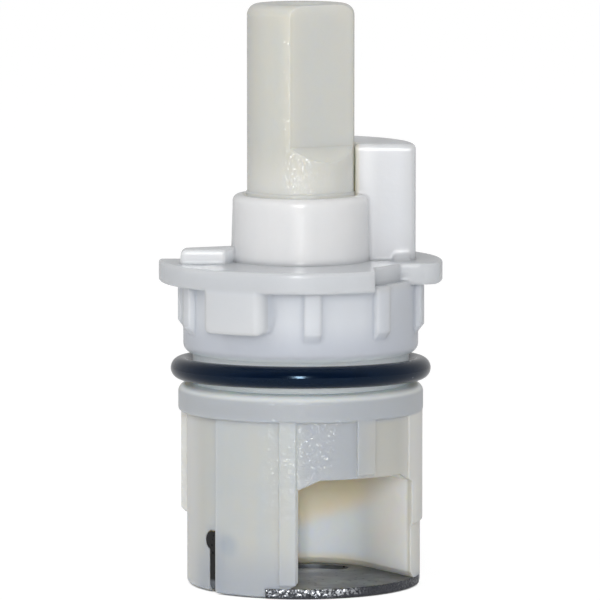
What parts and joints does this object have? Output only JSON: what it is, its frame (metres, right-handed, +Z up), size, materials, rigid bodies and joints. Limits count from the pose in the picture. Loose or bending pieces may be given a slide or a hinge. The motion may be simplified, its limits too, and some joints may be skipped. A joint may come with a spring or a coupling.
{
  "type": "faucet stem",
  "caption": "Quarter-turn faucet stem: a D-shaft on a windowed rotor cup with a steel flow plate turns in a ribbed plastic bonnet sealed by an O-ring.",
  "frame": {"origin": "centre of the valve face at the foot of the stem, on the shaft's axis", "axes": "+Z up along the shaft, -Y to the side that the picture shows, +X to its right"},
  "size_m": [0.0252, 0.0252, 0.0516],
  "materials": {
    "bonnet_plastic": "natural white moulded plastic, satin gloss, slightly translucent",
    "stem_acetal": "cream natural acetal, satin, slightly translucent",
    "navy_rubber": "smooth blue-black rubber with a lubricant sheen",
    "black_rubber": "smooth black rubber",
    "plate_steel": "stamped stainless steel, burnished and mottled"
  },
  "bodies": {
    "bonnet": {"bonnet": "bonnet_plastic", "body_o_ring": "navy_rubber"},
    "stem": {"stem": "stem_acetal", "stem_o_ring_upper": "black_rubber", "stem_o_ring_lower": "black_rubber", "flow_plate": "plate_steel"}
  },
  "joints": [
    {"name": "stem_turn", "type": "hinge", "parent": "bonnet", "child": "stem", "pos_m": [0, 0, 0.022], "axis": [0, 0, 1], "range_deg": [0, 90]}
  ]
}
